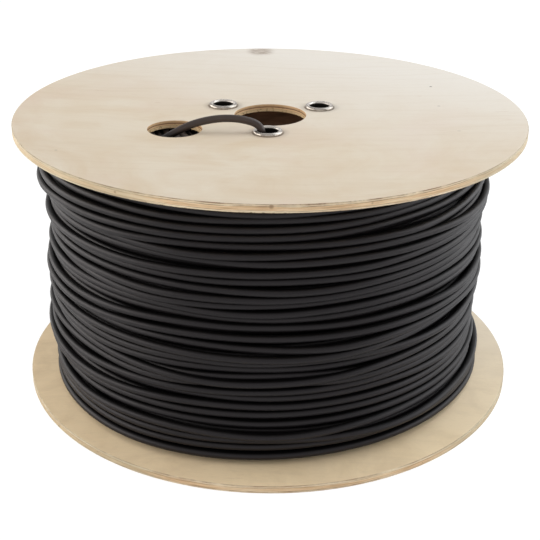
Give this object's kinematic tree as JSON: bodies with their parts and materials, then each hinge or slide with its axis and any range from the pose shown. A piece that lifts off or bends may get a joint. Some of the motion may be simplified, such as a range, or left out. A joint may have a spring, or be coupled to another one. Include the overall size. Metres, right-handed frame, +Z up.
{
  "type": "wooden cable drum",
  "caption": "Plywood cable drum standing on one flange, wound full of thin black cable whose inner end loops out of the start hole and down a steel tie tube.",
  "frame": {"origin": "on the floor below the centre of the spindle bore, level with the edge of the lower rim that the drum stands on", "axes": "+Z up along the spindle bore; -Y towards the viewer, where the front tie tube lies; +X to the viewer's right"},
  "size_m": [0.3999, 0.4, 0.2275],
  "materials": {
    "plywood": "raw sanded birch plywood",
    "core_card": "raw brown card",
    "tie_steel": "bright zinc plated",
    "cable_sheath": "satin black sheath"
  },
  "bodies": {
    "root": {"bottom_flange": "plywood", "top_flange": "plywood", "core_tube": "core_card", "tie_tube_1": "tie_steel", "tie_tube_2": "tie_steel", "tie_tube_3": "tie_steel", "cable_winding": "cable_sheath", "cable_tail": "cable_sheath"}
  },
  "joints": []
}
